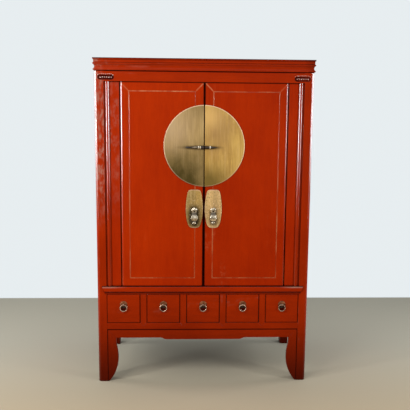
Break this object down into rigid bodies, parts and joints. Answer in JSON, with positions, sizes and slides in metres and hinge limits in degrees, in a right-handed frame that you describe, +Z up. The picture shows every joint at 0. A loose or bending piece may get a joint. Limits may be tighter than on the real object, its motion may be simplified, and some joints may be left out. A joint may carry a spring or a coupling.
{
  "type": "wedding cabinet",
  "caption": "Tall red lacquered cabinet with a moulded cornice, two doors with a round brass plate, drop pulls and a bolt, and a row of small drawers over curved leg brackets.",
  "frame": {"origin": "on the floor under the middle of the cabinet's bounding box", "axes": "+X to the right seen from the front, +Y to the back, +Z up; the doors face -Y"},
  "size_m": [1.16, 0.6126, 1.752],
  "materials": {
    "red_lacquer": "satin red lacquer, worn on edges",
    "plain_wood": "unfinished aged wood",
    "aged_brass": "aged, softly brushed",
    "dark_iron": "forged, dark"
  },
  "bodies": {
    "cabinet": {"left_front_post": "red_lacquer", "right_front_post": "red_lacquer", "rear_posts": "red_lacquer", "cornice_front": "red_lacquer", "left_cornice": "red_lacquer", "right_cornice": "red_lacquer", "cornice_back": "red_lacquer", "top_panel": "red_lacquer", "frieze_rail": "red_lacquer", "waist_rail": "red_lacquer", "lower_rail": "red_lacquer", "drawer_dividers": "red_lacquer", "bead_strips": "red_lacquer", "filler_panels": "red_lacquer", "front_apron": "red_lacquer", "left_leg_bracket": "red_lacquer", "right_leg_bracket": "red_lacquer", "side_aprons": "red_lacquer", "side_rails": "red_lacquer", "side_panels": "red_lacquer", "back_rails": "plain_wood", "back_boards": "plain_wood", "cupboard_floor": "plain_wood", "dust_board": "plain_wood", "shelf": "plain_wood", "shelf_bearers": "plain_wood", "drawer_guides": "plain_wood"},
    "left_door": {"left_door_frame": "red_lacquer", "left_door_panel": "red_lacquer", "left_moon_plate": "aged_brass", "left_pull_plate": "aged_brass"},
    "right_door": {"right_door_frame": "red_lacquer", "right_door_panel": "red_lacquer", "right_moon_plate": "aged_brass", "right_pull_plate": "aged_brass", "lock_keeper": "dark_iron"},
    "left_pull": {"left_pull": "aged_brass"},
    "right_pull": {"right_pull": "aged_brass"},
    "lock_bolt": {"lock_bolt": "dark_iron"},
    "drawer_1": {"drawer_1_front": "red_lacquer", "drawer_1_box": "plain_wood", "drawer_1_rosette": "aged_brass"},
    "drawer_1_ring": {"drawer_1_ring": "aged_brass"},
    "drawer_2": {"drawer_2_front": "red_lacquer", "drawer_2_box": "plain_wood", "drawer_2_rosette": "aged_brass"},
    "drawer_2_ring": {"drawer_2_ring": "aged_brass"},
    "drawer_3": {"drawer_3_front": "red_lacquer", "drawer_3_box": "plain_wood", "drawer_3_rosette": "aged_brass"},
    "drawer_3_ring": {"drawer_3_ring": "aged_brass"},
    "drawer_4": {"drawer_4_front": "red_lacquer", "drawer_4_box": "plain_wood", "drawer_4_rosette": "aged_brass"},
    "drawer_4_ring": {"drawer_4_ring": "aged_brass"},
    "drawer_5": {"drawer_5_front": "red_lacquer", "drawer_5_box": "plain_wood", "drawer_5_rosette": "aged_brass"},
    "drawer_5_ring": {"drawer_5_ring": "aged_brass"}
  },
  "joints": [
    {"name": "left_door_hinge", "type": "hinge", "parent": "cabinet", "child": "left_door", "pos_m": [-0.428, -0.27065, 1.087], "axis": [0, 0, -1], "range_deg": [0, 105]},
    {"name": "right_door_hinge", "type": "hinge", "parent": "cabinet", "child": "right_door", "pos_m": [0.428, -0.27065, 1.087], "axis": [0, 0, 1], "range_deg": [0, 105]},
    {"name": "left_pull_swing", "type": "hinge", "parent": "left_door", "child": "left_pull", "pos_m": [-0.0508, -0.29625, 0.968], "axis": [-1, 0, 0], "range_deg": [-3, 170]},
    {"name": "right_pull_swing", "type": "hinge", "parent": "right_door", "child": "right_pull", "pos_m": [0.0508, -0.29625, 0.968], "axis": [-1, 0, 0], "range_deg": [-3, 170]},
    {"name": "lock_bolt_slide", "type": "slide", "parent": "left_door", "child": "lock_bolt", "axis": [1, 0, 0], "range_m": [0, 0.017]},
    {"name": "drawer_1_slide", "type": "slide", "parent": "cabinet", "child": "drawer_1", "axis": [0, -1, 0], "range_m": [0, 0.36]},
    {"name": "drawer_1_ring_swing", "type": "hinge", "parent": "drawer_1", "child": "drawer_1_ring", "pos_m": [-0.434, -0.29115, 0.438], "axis": [-1, 0, 0], "range_deg": [-8, 170]},
    {"name": "drawer_2_slide", "type": "slide", "parent": "cabinet", "child": "drawer_2", "axis": [0, -1, 0], "range_m": [0, 0.36]},
    {"name": "drawer_2_ring_swing", "type": "hinge", "parent": "drawer_2", "child": "drawer_2_ring", "pos_m": [-0.217, -0.29115, 0.438], "axis": [-1, 0, 0], "range_deg": [-8, 170]},
    {"name": "drawer_3_slide", "type": "slide", "parent": "cabinet", "child": "drawer_3", "axis": [0, -1, 0], "range_m": [0, 0.36]},
    {"name": "drawer_3_ring_swing", "type": "hinge", "parent": "drawer_3", "child": "drawer_3_ring", "pos_m": [0, -0.29115, 0.438], "axis": [-1, 0, 0], "range_deg": [-8, 170]},
    {"name": "drawer_4_slide", "type": "slide", "parent": "cabinet", "child": "drawer_4", "axis": [0, -1, 0], "range_m": [0, 0.36]},
    {"name": "drawer_4_ring_swing", "type": "hinge", "parent": "drawer_4", "child": "drawer_4_ring", "pos_m": [0.217, -0.29115, 0.438], "axis": [-1, 0, 0], "range_deg": [-8, 170]},
    {"name": "drawer_5_slide", "type": "slide", "parent": "cabinet", "child": "drawer_5", "axis": [0, -1, 0], "range_m": [0, 0.36]},
    {"name": "drawer_5_ring_swing", "type": "hinge", "parent": "drawer_5", "child": "drawer_5_ring", "pos_m": [0.434, -0.29115, 0.438], "axis": [-1, 0, 0], "range_deg": [-8, 170]}
  ]
}
